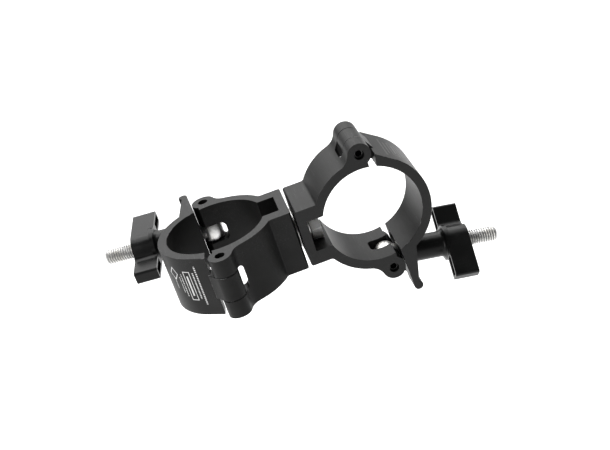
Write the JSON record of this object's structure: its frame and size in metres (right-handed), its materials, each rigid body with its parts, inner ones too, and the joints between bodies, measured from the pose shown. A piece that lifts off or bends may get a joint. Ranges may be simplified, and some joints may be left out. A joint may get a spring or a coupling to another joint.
{
  "type": "swivel pipe clamp",
  "caption": "Swivel pipe clamp: two hinged half couplers joined back to back, each closed by a swing bolt with a wing nut, for crossing tubes.",
  "frame": {"origin": "centre of clamp A's tube seat", "axes": "+Z along the tube that clamp A grips, +X along the swivel axis towards clamp B"},
  "size_m": [0.1941, 0.0989, 0.091],
  "materials": {
    "anodised_aluminium": "satin black anodised, fine scratches",
    "black_steel": "black oxide",
    "wing_nut_black": "glossy black moulding",
    "spring_steel": "dark oiled spring steel",
    "nylon": "milky nylon",
    "zinc_steel": "bright zinc plate"
  },
  "bodies": {
    "clamp_a": {"saddle_a": "anodised_aluminium", "hinge_pin_a": "spring_steel", "bolt_pin_a": "spring_steel"},
    "clamp_b": {"saddle_b": "anodised_aluminium", "hinge_pin_b": "spring_steel", "bolt_pin_b": "spring_steel", "swivel_screw": "black_steel", "lock_nut": "zinc_steel", "lock_nut_ring": "nylon", "lock_nut_washer": "zinc_steel", "thrust_washer": "zinc_steel", "swivel_washer": "zinc_steel"},
    "flap_a": {"flap_a": "anodised_aluminium"},
    "bolt_a": {"swing_bolt_a": "zinc_steel"},
    "washer_a": {"wing_nut_washer_a": "black_steel"},
    "nut_a": {"wing_nut_a": "wing_nut_black", "thread_insert_a": "zinc_steel"},
    "flap_b": {"flap_b": "anodised_aluminium"},
    "bolt_b": {"swing_bolt_b": "zinc_steel"},
    "washer_b": {"wing_nut_washer_b": "black_steel"},
    "nut_b": {"wing_nut_b": "wing_nut_black", "thread_insert_b": "zinc_steel"}
  },
  "joints": [
    {"name": "swivel", "type": "hinge", "parent": "clamp_a", "child": "clamp_b", "pos_m": [0.03725, 0, 0], "axis": [1, 0, 0], "continuous": true},
    {"name": "flap_a_hinge", "type": "hinge", "parent": "clamp_a", "child": "flap_a", "pos_m": [-0.0021, -0.0322, 0], "axis": [0, 0, 1], "range_deg": [0, 110]},
    {"name": "bolt_a_swing", "type": "hinge", "parent": "clamp_a", "child": "bolt_a", "pos_m": [-0.0021, 0.0322, 0], "axis": [0, 0, -1], "range_deg": [0, 100]},
    {"name": "nut_a_travel", "type": "slide", "parent": "bolt_a", "child": "washer_a", "axis": [-0.9826, 0.1857, 0], "range_m": [0, 0.0402]},
    {"name": "nut_a_turn", "type": "hinge", "parent": "washer_a", "child": "nut_a", "pos_m": [-0.0021, 0.0322, 0], "axis": [-0.9826, 0.1857, 0], "range_deg": [0, 11520]},
    {"name": "flap_b_hinge", "type": "hinge", "parent": "clamp_b", "child": "flap_b", "pos_m": [0.0766, 0, 0.0322], "axis": [0, -1, 0], "range_deg": [0, 110]},
    {"name": "bolt_b_swing", "type": "hinge", "parent": "clamp_b", "child": "bolt_b", "pos_m": [0.0766, 0, -0.0322], "axis": [0, 1, 0], "range_deg": [0, 100]},
    {"name": "nut_b_travel", "type": "slide", "parent": "bolt_b", "child": "washer_b", "axis": [0.9826, 0, -0.1857], "range_m": [0, 0.0402]},
    {"name": "nut_b_turn", "type": "hinge", "parent": "washer_b", "child": "nut_b", "pos_m": [0.0766, 0, -0.0322], "axis": [0.9826, 0, -0.1857], "range_deg": [0, 11520]}
  ],
  "couplings": [
    {"joint": "nut_a_travel", "follows": "nut_a_turn", "m_per_rad": 0.00019894},
    {"joint": "bolt_a_swing", "follows": "nut_a_turn", "ratio": 0.0039062},
    {"joint": "flap_a_hinge", "follows": "nut_a_turn", "ratio": 0.0017361},
    {"joint": "nut_b_travel", "follows": "nut_b_turn", "m_per_rad": 0.00019894},
    {"joint": "bolt_b_swing", "follows": "nut_b_turn", "ratio": 0.0039062},
    {"joint": "flap_b_hinge", "follows": "nut_b_turn", "ratio": 0.0017361}
  ]
}
